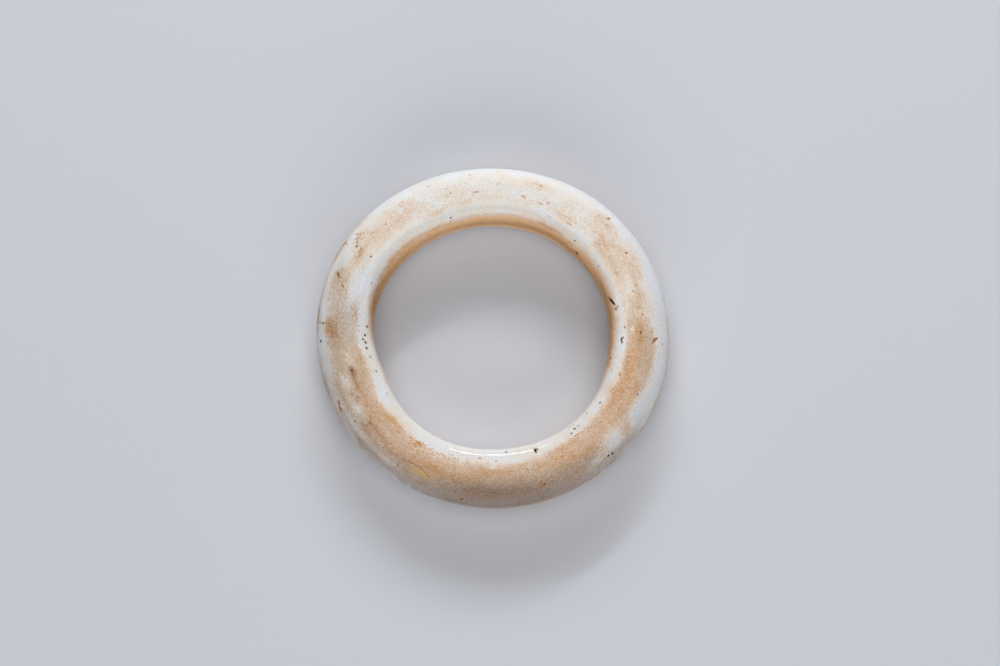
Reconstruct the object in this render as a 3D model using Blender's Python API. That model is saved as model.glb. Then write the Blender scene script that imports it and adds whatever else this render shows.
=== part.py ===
"""Jade bangle, ground by hand out of one piece of stone, lying on its back face.

Metres, +Z up. The origin is on the surface that the ring lies on, under the middle of its outline.
Clock angles are in degrees, clockwise from +Y as seen from above.
"""

import math
from collections import namedtuple

import bpy

# Driving sizes, in metres
RIM_DIAMETER = 0.0837
BORE_DIAMETER = 0.0564
THICKNESS = 0.0140

# The back face is ground flat this far below the crown of its section, which gives the ring its resting land
LAND_DEPTH = 0.00015

# The section is thickest here, as a share of the way from the bore to the rim
CROWN_SHARE = 0.38

# How square the section is on each side: 2 is an ellipse, and more is squarer
BORE_SQUARENESS = 3.2
RIM_SQUARENESS = 2.15

# What the grinding left uneven. Clock is where it is most, spread is how far it reaches each way in degrees,
# and outward is how much further the wall lies from the ring's middle there, in metres
Swell = namedtuple("Swell", "clock spread outward")
RIM_SWELLS = (
    Swell(clock=6, spread=42, outward=-0.00050),
    Swell(clock=105, spread=50, outward=0.00035),
    Swell(clock=215, spread=65, outward=-0.00030),
    Swell(clock=298, spread=45, outward=0.00055),
)
BORE_SWELLS = (
    Swell(clock=2, spread=40, outward=-0.00015),
    Swell(clock=95, spread=32, outward=-0.00045),
    Swell(clock=136, spread=44, outward=0.00055),
    Swell(clock=203, spread=26, outward=0.00025),
    Swell(clock=249, spread=27, outward=-0.00080),
    Swell(clock=293, spread=50, outward=0.00065),
)
# Where the bore also opens out towards the front face
FRONT_FLARES = (
    Swell(clock=301, spread=36, outward=0.00170),
)

# Facets: round the ring, and round its section
RING_STEPS = 96
SECTION_STEPS = 36

JADE_COLOUR = (0.70, 0.66, 0.60, 1.0)
JADE_ROUGHNESS = 0.32


def clear_scene():
    for obj in list(bpy.data.objects):
        bpy.data.objects.remove(obj)


def jade_material():
    material = bpy.data.materials.new("jade")
    material.use_nodes = True
    shader = material.node_tree.nodes["Principled BSDF"]
    shader.inputs["Base Color"].default_value = JADE_COLOUR
    shader.inputs["Roughness"].default_value = JADE_ROUGHNESS
    shader.inputs["Metallic"].default_value = 0.0
    return material


def uneven(swells, clock):
    """How far outward all the swells together carry the wall at a clock angle, in metres."""
    total = 0.0
    for swell in swells:
        away = abs((clock - swell.clock + 180) % 360 - 180)
        if away < swell.spread:
            total += swell.outward * (1 + math.cos(math.pi * away / swell.spread)) / 2
    return total


def section_point(turn):
    """The section at a turn round it, in radians from the rim.

    Gives the place across it, from -1 at the bore through 0 at the crown to 1 at the rim, and the height,
    from -1 at the back to 1 at the front.
    """
    squareness = RIM_SQUARENESS if math.cos(turn) > 0 else BORE_SQUARENESS
    across = math.copysign(abs(math.cos(turn)) ** (2 / squareness), math.cos(turn))
    height = math.copysign(abs(math.sin(turn)) ** (2 / squareness), math.sin(turn))
    return across, height


def ground_point(clock, turn):
    """The place on the ground ring for a clock angle and a turn round the section."""
    rim = RIM_DIAMETER / 2 + uneven(RIM_SWELLS, clock)
    bore = BORE_DIAMETER / 2 + uneven(BORE_SWELLS, clock)
    crown = bore + CROWN_SHARE * (rim - bore)
    across, height = section_point(turn)
    radius = crown + across * ((rim - crown) if across > 0 else (crown - bore))
    radius += uneven(FRONT_FLARES, clock) * max(-across, 0) * max(height, 0)
    half = (THICKNESS + LAND_DEPTH) / 2
    level = max(half * height, LAND_DEPTH - half) + half - LAND_DEPTH
    angle = math.radians(clock)
    return radius * math.sin(angle), radius * math.cos(angle), level


def centre_outline(mesh):
    """Moves the mesh so that the box round its outline is centred on the Z axis."""
    for axis in (0, 1):
        places = [vertex.co[axis] for vertex in mesh.vertices]
        middle = (min(places) + max(places)) / 2
        for vertex in mesh.vertices:
            vertex.co[axis] -= middle


def make_bracelet(collection):
    """A torus blank whose points are moved onto the ground section."""
    blank_radius = (RIM_DIAMETER + BORE_DIAMETER) / 4
    bpy.ops.mesh.primitive_torus_add(
        major_segments=RING_STEPS,
        minor_segments=SECTION_STEPS,
        major_radius=blank_radius,
        minor_radius=THICKNESS / 2,
    )
    bracelet = bpy.context.object
    bracelet.name = "bracelet"
    bracelet.data.name = "bracelet"
    for vertex in bracelet.data.vertices:
        x, y, z = vertex.co
        clock = math.degrees(math.atan2(x, y))
        turn = math.atan2(z, math.hypot(x, y) - blank_radius)
        vertex.co = ground_point(clock, turn)
    centre_outline(bracelet.data)
    bracelet.data.shade_smooth()
    bracelet.data.materials.append(jade_material())
    for other in list(bracelet.users_collection):
        other.objects.unlink(bracelet)
    collection.objects.link(bracelet)


def main():
    clear_scene()
    collection = bpy.data.collections.new("jade_bracelet")
    bpy.context.scene.collection.children.link(collection)
    make_bracelet(collection)


main()
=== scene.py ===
import math
from collections import namedtuple

import bpy
import numpy as np
from bpy.props import FloatProperty, FloatVectorProperty, IntProperty, PointerProperty
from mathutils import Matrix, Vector, noise


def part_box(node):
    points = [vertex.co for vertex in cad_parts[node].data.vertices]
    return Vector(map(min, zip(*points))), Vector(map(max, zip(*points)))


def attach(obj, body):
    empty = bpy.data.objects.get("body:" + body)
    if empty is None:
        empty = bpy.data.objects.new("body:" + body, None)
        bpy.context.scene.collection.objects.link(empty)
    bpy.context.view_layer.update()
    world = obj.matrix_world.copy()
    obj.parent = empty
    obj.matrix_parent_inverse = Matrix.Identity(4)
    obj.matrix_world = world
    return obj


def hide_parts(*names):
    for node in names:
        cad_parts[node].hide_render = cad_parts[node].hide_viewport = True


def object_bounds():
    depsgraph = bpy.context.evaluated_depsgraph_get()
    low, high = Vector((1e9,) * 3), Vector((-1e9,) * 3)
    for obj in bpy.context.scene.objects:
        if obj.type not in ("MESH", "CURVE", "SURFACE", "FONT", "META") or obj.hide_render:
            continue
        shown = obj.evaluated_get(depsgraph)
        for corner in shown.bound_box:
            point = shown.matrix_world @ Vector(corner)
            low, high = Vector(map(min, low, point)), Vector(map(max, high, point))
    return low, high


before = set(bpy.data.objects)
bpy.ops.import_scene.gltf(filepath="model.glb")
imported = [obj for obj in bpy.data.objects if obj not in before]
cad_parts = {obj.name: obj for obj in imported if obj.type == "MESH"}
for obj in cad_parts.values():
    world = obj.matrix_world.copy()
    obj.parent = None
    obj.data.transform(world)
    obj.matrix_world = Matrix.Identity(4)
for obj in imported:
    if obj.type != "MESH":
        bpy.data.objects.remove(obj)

bl_info = {
    "name": "Jade Bangle",
    "version": (1, 0, 0),
    "blender": (4, 5, 0),
    "location": "View3D > Sidebar > Jade Bangle",
    "description": "Dresses a hand-ground jade bangle in its worn, stained stone and lights it in a studio",
    "category": "Object",
}

MM = 0.001
CAD_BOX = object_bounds()

# The point that the ring was ground round, which isn't quite the middle of its outline, and the radius of the
# ring's middle, in millimetres
TURNING_CENTRE = (-0.05, 0.17)
MIDDLE_RADIUS = 35.0

# Points of the solid that are this close are one
SAME_POINT = 0.01 * MM
# Smoothing takes a little off the solid's curves, and the fine mesh is laid this far out to make up for it
LAID_OUT = 0.06 * MM
# Rounds of subdivision that smooth the solid and make the fine mesh, and how many faces one becomes each way
SUBDIVISIONS = 2
FINER = 2**SUBDIVISIONS
# The mesh is cut finer this far round spots and pits, and round cracks, in millimetres, with this many cuts
SPOT_MARGIN = 0.3
CRACK_MARGIN = 0.35
CUTS = 2
# How deep a pit has to be to look fully dark, and how much larger its brown halo is, in millimetres
DARK_DEPTH = 0.14
HALO = 0.35

# The photograph's width and middle and the ring's middle and width in it, in pixels, the ring's real width in
# metres, how far it leans back in degrees, and the width of the camera's sensor in millimetres
PHOTO_WIDTH_PX = 1000
PHOTO_CENTRE = (500.0, 333.0)
RING_CENTRE = (493.0, 336.3)
RING_WIDTH_PX = 352.7
RING_WIDTH = 0.0841
LEAN = 14.0
SENSOR_WIDTH = 36.0

# Places on the ring. Clock is in degrees, clockwise from +Y as seen from the front. Across is in millimetres
# along the surface from the middle of the bore wall: the front ridge is near 7, the crown 10, the rim 22, and
# the wall's back half and the back ridge are negative. Reach, long, wide and depth are in millimetres. Turn
# is in degrees from the ring's own direction, and dirty is how much earth is left in a pit, from 0 to 1
Patch = namedtuple("Patch", "clock across reach_round reach_across strength turn", defaults=(0,))
Spot = namedtuple("Spot", "clock across long wide strength turn", defaults=(0,))
Pit = namedtuple("Pit", "clock across long wide depth turn dirty", defaults=(0, 1))
Crack = namedtuple("Crack", "places wide depth strength")

# A mesh's points in metres, and each one's distance across, clock and distance from the ring's axis
Surface = namedtuple("Surface", "points across clock radius")


def marks(kind, *rows):
    """Rows of numbers as marks of one kind."""
    return tuple(kind(*row) for row in rows)


# Tan burial stain soaked into the front face
TAN_PATCHES = marks(
    Patch,
    (2, 13.2, 3, 1.3, 0.14), (5, 9.3, 6, 1, 0.12), (13, 9, 4, 0.8, 0.15), (18, 14.5, 4, 1.6, 0.33),
    (27, 9.5, 5, 1.8, 0.2), (34, 9.3, 4, 1.6, 0.24), (33, 11.6, 5, 1.2, 0.24), (42.5, 14.4, 3, 2, 0.32),
    (44, 11.9, 3, 1.2, 0.22), (47.4, 15, 3, 1.4, 0.42), (52, 11.2, 4.5, 2.8, 0.49),
    (56.5, 12.4, 3, 1.4, 0.3), (53, 9, 4, 0.9, 0.44), (61, 9.8, 5, 1.8, 0.4),
    (63.5, 15.5, 4.5, 2.4, 0.5), (65, 9.6, 3, 1, 0.24), (67, 12.8, 4, 1.2, 0.24),
    (72, 8.4, 7, 1.2, 0.18), (78.2, 8.6, 1.8, 0.8, 0.4), (78.2, 11, 1.8, 0.9, 0.4),
    (75, 12.8, 5, 1.6, 0.33), (81, 12.6, 4, 2.2, 0.37), (85, 10, 5, 1.3, 0.26),
    (90.6, 11.8, 3, 2.6, 0.54), (94, 12.2, 5, 2.7, 0.88), (96, 14.8, 3.5, 1.2, 0.4),
    (97, 9.4, 6, 0.8, 0.35), (103, 12.6, 6, 2.8, 0.8), (104, 15.1, 6, 1, 0.34),
    (105, 10, 4.5, 1.4, 0.62), (103, 16.6, 5, 1.1, 0.24), (112, 13.7, 5, 1.4, 0.68),
    (113, 11.2, 4, 1.6, 0.7), (119, 10.9, 6, 2.9, 0.88), (123.5, 13.5, 3, 1.2, 0.5),
    (126, 10.6, 5, 2.4, 0.68), (127.4, 16.5, 2.3, 1.4, 0.58), (126, 14.4, 2.4, 1.8, 0.36),
    (133, 10.9, 4, 2.4, 0.6), (132.5, 14.6, 4, 2.4, 0.1), (140, 11.6, 5, 3, 0.56),
    (142, 13.7, 4, 1.8, 0.72), (148, 13, 5, 2.4, 0.68), (149, 10, 5, 1.5, 0.72),
    (158, 14.6, 8, 2.6, 0.7), (158, 11.6, 6, 2, 0.76), (167, 10.6, 4, 1.2, 0.3),
    (171, 13.8, 8, 3.2, 0.54), (177, 12.1, 5, 1.6, 0.78), (184, 14, 7, 3.6, 0.82),
    (183, 12, 4, 1.1, 0.78), (186, 10, 6, 1, 0.12), (195, 13.4, 8, 2.8, 0.7), (200, 11.1, 8, 1.4, 0.48),
    (200, 9.3, 8, 0.7, 0.08), (209, 13.6, 8, 3, 0.77), (213, 10, 3.5, 1, 0.18),
    (220, 11.2, 7, 2.6, 0.52), (222, 14.8, 5, 2.2, 0.78), (229, 12.4, 6, 3, 0.86),
    (235, 13.6, 4, 1.6, 0.45), (242.6, 13.6, 2.4, 1.8, 0.5), (230, 9.8, 5, 1.2, 0.66),
    (232, 15.8, 4, 1.4, 0.32), (150, 16.8, 9, 1.6, 0.36), (166, 17, 8, 1.8, 0.38),
    (181, 17.2, 10, 2, 0.66), (202, 17, 7, 1.9, 0.46), (213, 17.2, 7, 1.8, 0.32),
    (232, 18.8, 8, 1.2, 0.25), (238, 11.6, 6, 1.9, 0.68), (243, 16.8, 6, 1.4, 0.32),
    (249, 12.1, 6, 1.7, 0.82), (248.5, 9.4, 7, 1.6, 0.66), (256, 15, 5, 2, 0.58),
    (257, 9.6, 3.2, 0.9, 0.38), (252.8, 11, 3, 0.9, 0.66), (259, 12.8, 3.5, 1.3, 0.44),
    (262, 10.7, 4, 1, 0.46), (264, 13.6, 4, 1.8, 0.56), (268.6, 14.9, 4, 2.2, 0.7),
    (271, 14.8, 2.4, 2.4, 0.7), (276, 13.4, 5, 2.5, 0.39), (275, 9.3, 3.5, 0.9, 0.38),
    (281, 9, 2.5, 0.6, 0.3), (275.2, 20.2, 2, 0.8, 0.55), (298, 19.4, 3, 1.6, 0.6),
    (285, 13.2, 5, 1.7, 0.41), (285, 15.9, 5, 1.1, 0.42), (288, 14.8, 3, 1.2, 0.46),
    (296, 12.4, 6, 1.9, 0.38), (301, 12.3, 3, 1.1, 0.34), (305, 15.1, 2.5, 1.2, 0.34),
    (310, 12, 6, 3, 0.4), (320, 11, 5, 1.8, 0.32), (325, 14.2, 5, 1.4, 0.3), (330, 11.4, 5, 1.4, 0.26),
    (337, 8.8, 6, 1, 0.3), (343, 11.8, 5, 1.3, 0.23), (350, 9.4, 5, 1, 0.14), (150, 7, 9, 0.9, 0.16),
    (322, 6.8, 13, 1, 0.12), (146, 17.6, 10, 1.8, 0.3), (236, 17, 12, 2.6, 0.22),
    (250, 16.6, 8, 1.6, 0.26), (287, 20.3, 10, 1.8, 0.36), (300, 20.4, 8, 1.7, 0.5),
    (308, 18.8, 8, 1.2, 0.28), (354, 11.2, 4, 1.4, 0.24),
)

# Bluish-white stone that the stain never reached
CLEAN_PATCHES = marks(
    Patch,
    (5, 11.7, 6, 1.4, 0.45), (21, 7.9, 3.2, 0.8, 0.9), (42, 8, 4, 1, 0.8), (46.5, 9.4, 1.2, 0.5, 0.7),
    (55, 15.8, 2.6, 0.9, 0.6), (73, 11.5, 2.6, 0.7, 0.5), (76, 18.2, 13, 2, 0.85),
    (50, 18.6, 14, 1.6, 0.7), (15, 18.8, 22, 1.4, 0.5), (345, 18.8, 18, 1.2, 0.45),
    (320, 18.6, 8, 1, 0.4), (90.5, 10.5, 0.9, 0.4, 1), (98, 8.3, 6, 0.8, 0.9), (100, 17.6, 4, 1.2, 0.6),
    (111, 18, 7.5, 1.9, 0.8), (120.5, 16.6, 3.3, 2.1, 0.9), (133, 7.3, 6, 0.7, 0.6),
    (138, 8.2, 3, 0.8, 0.45), (166, 8.6, 4, 0.8, 0.4), (189, 9, 8, 0.8, 0.35),
    (131.4, 15.8, 3.2, 1.9, 0.55), (141, 17, 3.5, 1, 0.4), (180, 10.5, 0.7, 0.35, 0.9),
    (206, 8.6, 8, 0.5, 0.15), (219, 17.6, 3.5, 0.9, 0.5), (223.5, 12.4, 1.4, 0.6, 0.35),
    (231.5, 17.6, 3.6, 0.8, 0.65), (240, 18, 4, 0.8, 0.45), (258.5, 12.2, 2.6, 1.1, 0.55),
    (236, 8.3, 3.6, 1, 0.9), (239, 14.6, 1.8, 1.1, 0.48), (248.6, 14.6, 2.2, 1.2, 0.48),
    (251, 15.2, 1.6, 0.3, 0.9), (243.5, 7.8, 4, 0.8, 0.9), (261, 17.7, 4, 1, 0.8),
    (267.5, 19.4, 2.6, 1.6, 0.9), (264, 8.2, 4, 0.8, 0.6), (275, 17.2, 3, 0.6, 0.6),
    (286.5, 9.4, 3.5, 1.9, 0.9), (283.5, 16.6, 2.4, 1.4, 0.4), (294, 17.8, 5.5, 1.2, 0.35),
    (293, 11.4, 2.2, 1, 0.45), (291.5, 8, 3.2, 0.9, 0.8), (278, 7.4, 6, 0.8, 0.9),
    (271.6, 7.4, 1.2, 0.6, 1), (300, 8.1, 4, 0.8, 0.6), (323, 8.6, 1.2, 0.5, 0.7),
)

# Where the stain is a warmer, grainy orange
ORANGE_PATCHES = marks(
    Patch,
    (18, 14.2, 3, 1.1, 0.5), (34, 9, 3, 0.9, 0.5), (51, 11, 4, 1.6, 0.5), (60, 14.8, 2, 1.4, 0.5),
    (77, 12.4, 3, 0.9, 0.5), (90.6, 12.4, 2, 1.4, 0.6), (95, 12.2, 4, 1.6, 0.9),
    (101, 10.4, 3, 0.8, 0.8), (106, 10.9, 4, 1.2, 0.9), (111.5, 13.9, 2.5, 0.6, 0.9),
    (117, 10.6, 5, 1.9, 0.9), (123, 9.8, 4, 1.1, 0.8), (125.5, 12.6, 3, 0.7, 0.6),
    (127.8, 16.5, 1.8, 0.8, 0.7), (133.5, 11, 3, 1.5, 0.7), (142, 13.6, 3, 0.7, 0.8),
    (148.5, 13, 3, 0.7, 0.7), (149, 9.8, 3.5, 0.9, 0.9), (156, 11.6, 6, 1.2, 0.95),
    (168.5, 10.6, 1.4, 0.9, 0.6), (176.5, 11.5, 4, 0.9, 0.6), (182.5, 11.9, 3, 1, 0.6),
    (196, 14, 7, 1.2, 0.8), (203, 12.6, 7, 1.6, 0.85), (212, 9.7, 3, 0.7, 0.9),
    (222, 14.4, 5, 1.6, 0.6), (228, 9.7, 5, 1, 0.7), (257, 9.6, 3, 0.9, 0.65),
    (245, 16.6, 4, 0.8, 0.25), (248, 12.2, 5, 1.1, 0.7), (232, 12.4, 6, 1.8, 0.5),
    (259, 9.8, 4, 1, 0.6), (270, 15.4, 3.2, 1.8, 0.95), (276.5, 19.8, 2.4, 0.9, 0.8),
    (297.6, 19.6, 2.2, 1, 0.8), (301.2, 19.2, 1.6, 1, 0.8), (309.8, 19.6, 1.8, 1, 0.6),
    (116, 12.8, 5, 1.6, 0.5), (274.4, 9.6, 1.6, 1, 0.5), (284, 16.3, 3, 0.5, 0.45),
    (301, 12.3, 3, 1.1, 0.35), (305.5, 15.2, 2.4, 1.1, 0.6), (318, 10.9, 4, 0.8, 0.4),
    (337, 8.6, 5, 0.7, 0.5), (349, 9, 4, 0.8, 0.3),
)

# Where the stain breaks up into rusty speckles
RUSTY_PATCHES = marks(
    Patch,
    (2, 8.8, 9, 1.2, 0.45), (16, 13.6, 5, 2, 0.45), (36, 9, 6, 1.6, 0.5), (46, 13.6, 5, 2.6, 0.6),
    (53, 10.6, 6, 2, 0.65), (63, 13.6, 6, 2.2, 0.45), (74, 12.4, 6, 1.6, 0.55), (84, 12.6, 4, 2.2, 0.5),
    (95, 12, 6, 2.2, 0.6), (105, 9.8, 6, 1.2, 0.6), (118, 9.6, 8, 1.2, 0.6), (127, 13.6, 6, 1.4, 0.45),
    (138, 9, 6, 1.2, 0.6), (150, 9.6, 6, 1.2, 0.6), (162, 16.6, 8, 1.6, 0.5), (177, 10.8, 8, 1.2, 0.55),
    (190, 9.4, 6, 1.2, 0.6), (202, 9.8, 8, 2, 0.8), (213, 10.4, 6, 2, 0.75), (208, 16, 8, 1.4, 0.5),
    (226, 9.6, 6, 1.2, 0.5), (240, 18.2, 8, 1.8, 0.35), (257, 9.4, 5, 1.2, 0.7),
    (270, 15.2, 5, 2.2, 0.65), (276, 9.4, 4, 1.2, 0.45), (284, 16.4, 5, 1.4, 0.45),
    (300, 12.4, 6, 1.8, 0.55), (304, 15.6, 5, 2.2, 0.6), (300, 18.8, 8, 1.8, 0.6),
    (318, 13, 8, 2.4, 0.45), (338, 9, 10, 1.4, 0.5), (344, 12.6, 8, 2.4, 0.35),
)

# Where iron has gathered deeply, in brown clouds on the face, and brown on the bore wall and the left rim
# that is partly painted shade
DEEP_STAIN_AND_SHADE_PATCHES = marks(
    Patch,
    (0, -0.4, 34, 3, 0.6), (32, 1.4, 13, 2.6, 0.45), (300, 0.6, 12, 2.8, 0.4), (68, 3.4, 5, 0.9, 0.44),
    (82, 3.4, 11, 2.4, 0.42), (98, 4, 9, 2.2, 0.4), (62, -0.6, 12, 1.4, 0.45), (25, 5, 3, 0.7, 0.4),
    (31.5, 5, 2, 0.5, 0.35), (8, 5.3, 6, 0.5, 0.25), (352, 5.2, 5, 0.5, 0.25), (338, 4.8, 4, 0.7, 0.25),
    (322, 4.6, 6, 0.9, 0.3), (304, 4.4, 6, 1, 0.25), (283, 2.8, 8, 2.8, 0.6), (94, 12.6, 2, 0.8, 0.2),
    (118, 10.8, 3, 1, 0.2), (141.5, 5.8, 3, 0.5, 0.2), (163, 15.7, 2.4, 1, 0.3), (174, 16.4, 6, 1, 0.3),
    (186, 15.8, 6, 1.4, 0.4), (194, 17.2, 4, 1.2, 0.1), (214, 15, 4, 1.2, 0.25),
    (231.5, 13.9, 2.5, 1, 0.35), (232, 15.8, 3, 0.8, 0.2), (248, 12.4, 4, 0.6, 0.45),
    (252.7, 12.3, 1.4, 0.9, 0.65), (243.4, 13.9, 2, 0.8, 0.35), (269.8, 15, 3.4, 2, 0.3),
    (268.5, 14.2, 2, 0.9, 0.3), (290, 21.2, 8, 1, 0.4), (276, 21.2, 5, 1, 0.4),
)

# Grey-brown grime worn into the outside, with painted shade: the outer bottom, the left and right faces and
# the inner ridge at the left are darkened where they lie in shade
GRIME_AND_SHADE_PATCHES = marks(
    Patch,
    (180, 17.4, 26, 5, 0.77), (262, 11.8, 22, 6.4, 0.36), (284, 13, 10, 4.2, 0.25),
    (277, 8.5, 9, 1.8, 0.3), (272, 11.2, 4, 1.5, 0.22), (293, 16.2, 6, 1.8, 0.24),
    (299, 9.2, 7, 1.6, 0.18), (234, 17.2, 16, 3.5, 0.22), (256, 16.8, 16, 2.8, 0.2),
    (96, 16.4, 26, 6.4, 0.36), (110, 21.6, 18, 1.5, 0.15), (118, 15.6, 8, 1.6, 0.18),
    (122, 18.8, 10, 1.6, 0.2), (131, 19.2, 7, 2, 0.42), (146, 15.8, 8, 2.2, 0.28),
    (147, 19.8, 14, 2.4, 0.48), (168, 19.8, 15, 3, 0.72), (186, 20.2, 14, 2.6, 0.64),
    (172, 21.8, 24, 2.6, 0.45), (210, 19.2, 14, 2.6, 0.48), (229, 19.6, 10, 2.2, 0.42),
    (250, 21, 14, 2.4, 0.42), (282, 20.8, 12, 2.4, 0.3), (274, 21.4, 5, 1.4, 0.2),
)

# Where dark specks gather
PEPPER_PATCHES = marks(
    Patch,
    (147, 14.4, 5, 1.8, 0.5), (166, 16.4, 6, 1.3, 0.8), (177, 16.9, 9, 1.3, 0.9),
    (189, 16.6, 6, 1.2, 0.7),
)

# Yellow-green and yellow-ochre blooms
YELLOW_PATCHES = marks(
    Patch,
    (207.2, 15.2, 2.1, 1, 0.62), (203.5, 15.6, 1.7, 0.6, 0.5), (201, 14.6, 1.3, 0.5, 0.5),
    (226.6, 9.2, 1.5, 0.75, 0.62), (213, 9.9, 0.9, 0.4, 0.45), (110.8, 13.8, 0.6, 0.2, 0.8),
    (117.5, 7.6, 0.8, 0.4, 0.3),
)

# Small spots where iron has gathered
OCHRE_SPOTS = marks(
    Spot,
    (2, 13.1, 1.25, 0.45, 0.45, 50), (12.6, 10.5, 1.5, 0.72, 0.6), (9.3, 10.2, 1.12, 0.39, 0.3),
    (20.4, 10, 1.38, 0.45, 0.55), (23.2, 10.8, 1.12, 0.45, 0.6), (18.1, 14.5, 1.12, 0.52, 0.55),
    (17.2, 13, 2.25, 0.33, 0.35), (35.5, 8.6, 1.75, 0.52, 0.4), (26, 7.8, 1.5, 0.39, 0.4),
    (45.2, 16.4, 1, 1.3, 0.7), (44.8, 12.1, 1.12, 0.39, 0.5), (45.6, 11.1, 0.75, 0.39, 0.5),
    (46.6, 14.5, 1, 0.39, 0.5), (48.6, 15.8, 0.75, 0.39, 0.5), (52.2, 14.5, 0.88, 0.33, 0.45),
    (50.8, 9.8, 1.12, 0.39, 0.5), (59.6, 14, 0.69, 0.65, 1), (65.5, 9.5, 1.12, 0.45, 0.4),
    (72.3, 12.9, 1.12, 0.39, 0.55), (81.6, 12.5, 0.75, 0.33, 0.6), (84.5, 13, 0.75, 0.39, 0.75),
    (91, 15.2, 0.75, 0.52, 0.6), (93.1, 16.5, 0.4, 0.8, 0.9, -20), (93.8, 16.1, 1.1, 1, 0.7, -15),
    (94.6, 18.4, 0.44, 0.45, 0.8), (104.8, 16.6, 0.62, 0.33, 0.6), (118, 8.5, 2, 0.52, 0.4),
    (142.7, 8.9, 1.62, 0.33, 0.75), (142, 5.9, 3.25, 1.17, 0.3), (150.3, 9.9, 0.62, 0.39, 0.55),
    (152.2, 11.5, 0.56, 0.39, 0.8), (161.9, 16.2, 1.1, 0.8, 0.9), (162.8, 15.6, 0.75, 0.6, 0.9),
    (168.3, 10.6, 1.12, 0.39, 0.45, 70), (173, 11.6, 1.38, 0.33, 0.5), (178.5, 9, 0.88, 0.45, 0.55),
    (182, 12, 2, 0.65, 0.4), (185.5, 8.4, 1, 0.52, 0.55), (187.4, 11.8, 1.25, 0.39, 0.4),
    (190.1, 19.2, 1.3, 0.85, 0.9), (194.5, 14, 2.25, 0.45, 0.4, 8), (196.6, 11, 1, 0.39, 0.45),
    (197.2, 8.9, 0.62, 0.33, 0.7), (201.8, 12.7, 1.25, 0.59, 0.6), (202, 9.3, 0.88, 0.39, 0.4),
    (205, 12, 0.88, 0.39, 0.45), (205.4, 16.4, 0.8, 0.5, 0.6), (203.4, 15.4, 0.9, 0.45, 0.5, -20),
    (211.9, 9.4, 1.6, 0.42, 0.75), (210.7, 16.7, 1, 0.33, 0.7, 12), (213.4, 14.6, 1.12, 0.45, 0.6, -30),
    (210.3, 8.8, 0.75, 0.33, 0.5, 40), (231.8, 14, 0.6, 0.5, 0.8), (226.6, 14, 0.5, 0.45, 0.8),
    (230.2, 19, 0.7, 0.45, 1), (242.4, 19.1, 1.9, 0.8, 1, 12), (244.4, 18.7, 1.5, 0.7, 1, -8),
    (254.3, 17, 0.62, 0.39, 0.75), (248, 16.6, 1.5, 0.33, 0.5, -10), (251, 9.8, 1.38, 0.33, 0.5),
    (243.8, 4.8, 1.6, 1.6, 0.3), (271.4, 6, 0.8, 1.2, 0.6), (252.9, 12.4, 0.9, 0.6, 0.5),
    (242.3, 13.4, 1.12, 0.52, 0.75, 15), (244.2, 14.4, 1.4, 0.55, 0.7, 30),
    (251.8, 20.8, 1.12, 1.04, 0.45), (272.4, 16.6, 1.2, 0.5, 0.4, 20), (276.8, 19.9, 2.6, 0.8, 0.4),
    (281, 16.4, 0.62, 0.39, 0.85), (283.6, 16.2, 1.6, 0.45, 0.35), (285.2, 15.9, 0.7, 0.4, 0.45),
    (290.1, 15.2, 2.38, 0.59, 1, 40), (290.6, 15.5, 1.12, 0.65, 1, 40),
    (286.6, 13.2, 1.38, 0.45, 0.9, 38), (278.2, 9.9, 1.1, 0.42, 0.75, 30),
    (292.3, 14.8, 0.75, 0.39, 0.5), (302.3, 14.2, 0.88, 0.52, 1), (306.3, 16.5, 0.69, 0.65, 0.8),
    (306.9, 15.7, 0.75, 0.45, 0.75), (303.8, 14.9, 1.38, 0.39, 0.7, 20),
    (305.2, 14.2, 0.88, 0.39, 0.55), (301.3, 12.7, 1.75, 0.39, 0.55), (299.3, 12, 1.12, 0.39, 0.5),
    (302, 11.7, 0.62, 0.33, 0.55), (304.6, 15.6, 0.7, 0.5, 0.75), (307.6, 15, 0.6, 0.45, 0.6),
    (301.6, 17.2, 0.6, 0.5, 0.6), (297.2, 16.8, 0.6, 0.35, 0.45), (301.3, 9.6, 0.62, 0.39, 0.9),
    (309.6, 13.2, 1.12, 0.39, 0.6, -10), (301.1, 19.4, 1.3, 0.9, 0.8), (297.6, 20, 1.9, 0.8, 0.7, 8),
    (309.8, 19.8, 1.2, 0.8, 0.5), (315.3, 12.4, 0.62, 0.33, 0.8), (318.3, 15.2, 1, 0.39, 0.5),
    (325.3, 14.9, 0.88, 0.39, 0.5), (336.5, 16.1, 1, 0.59, 0.45), (336.8, 14.8, 0.62, 0.33, 0.4),
    (330, 12.6, 0.88, 0.33, 0.4), (341.6, 11.4, 0.88, 0.39, 0.6), (342.1, 13.5, 0.62, 0.45, 0.5),
    (353.3, 11.1, 1.88, 0.36, 0.75), (351.7, 16.3, 0.56, 0.59, 0.6), (40.4, 4.4, 1.6, 1.2, 0.5),
    (37.2, 2.3, 1, 1, 0.6), (160.3, 7.7, 0.8, 0.9, 0.6), (161.8, 7, 0.8, 0.4, 0.4),
    (26.2, 4.8, 0.75, 0.45, 0.5), (78.6, 21, 0.62, 0.9, 0.7),
)

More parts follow.
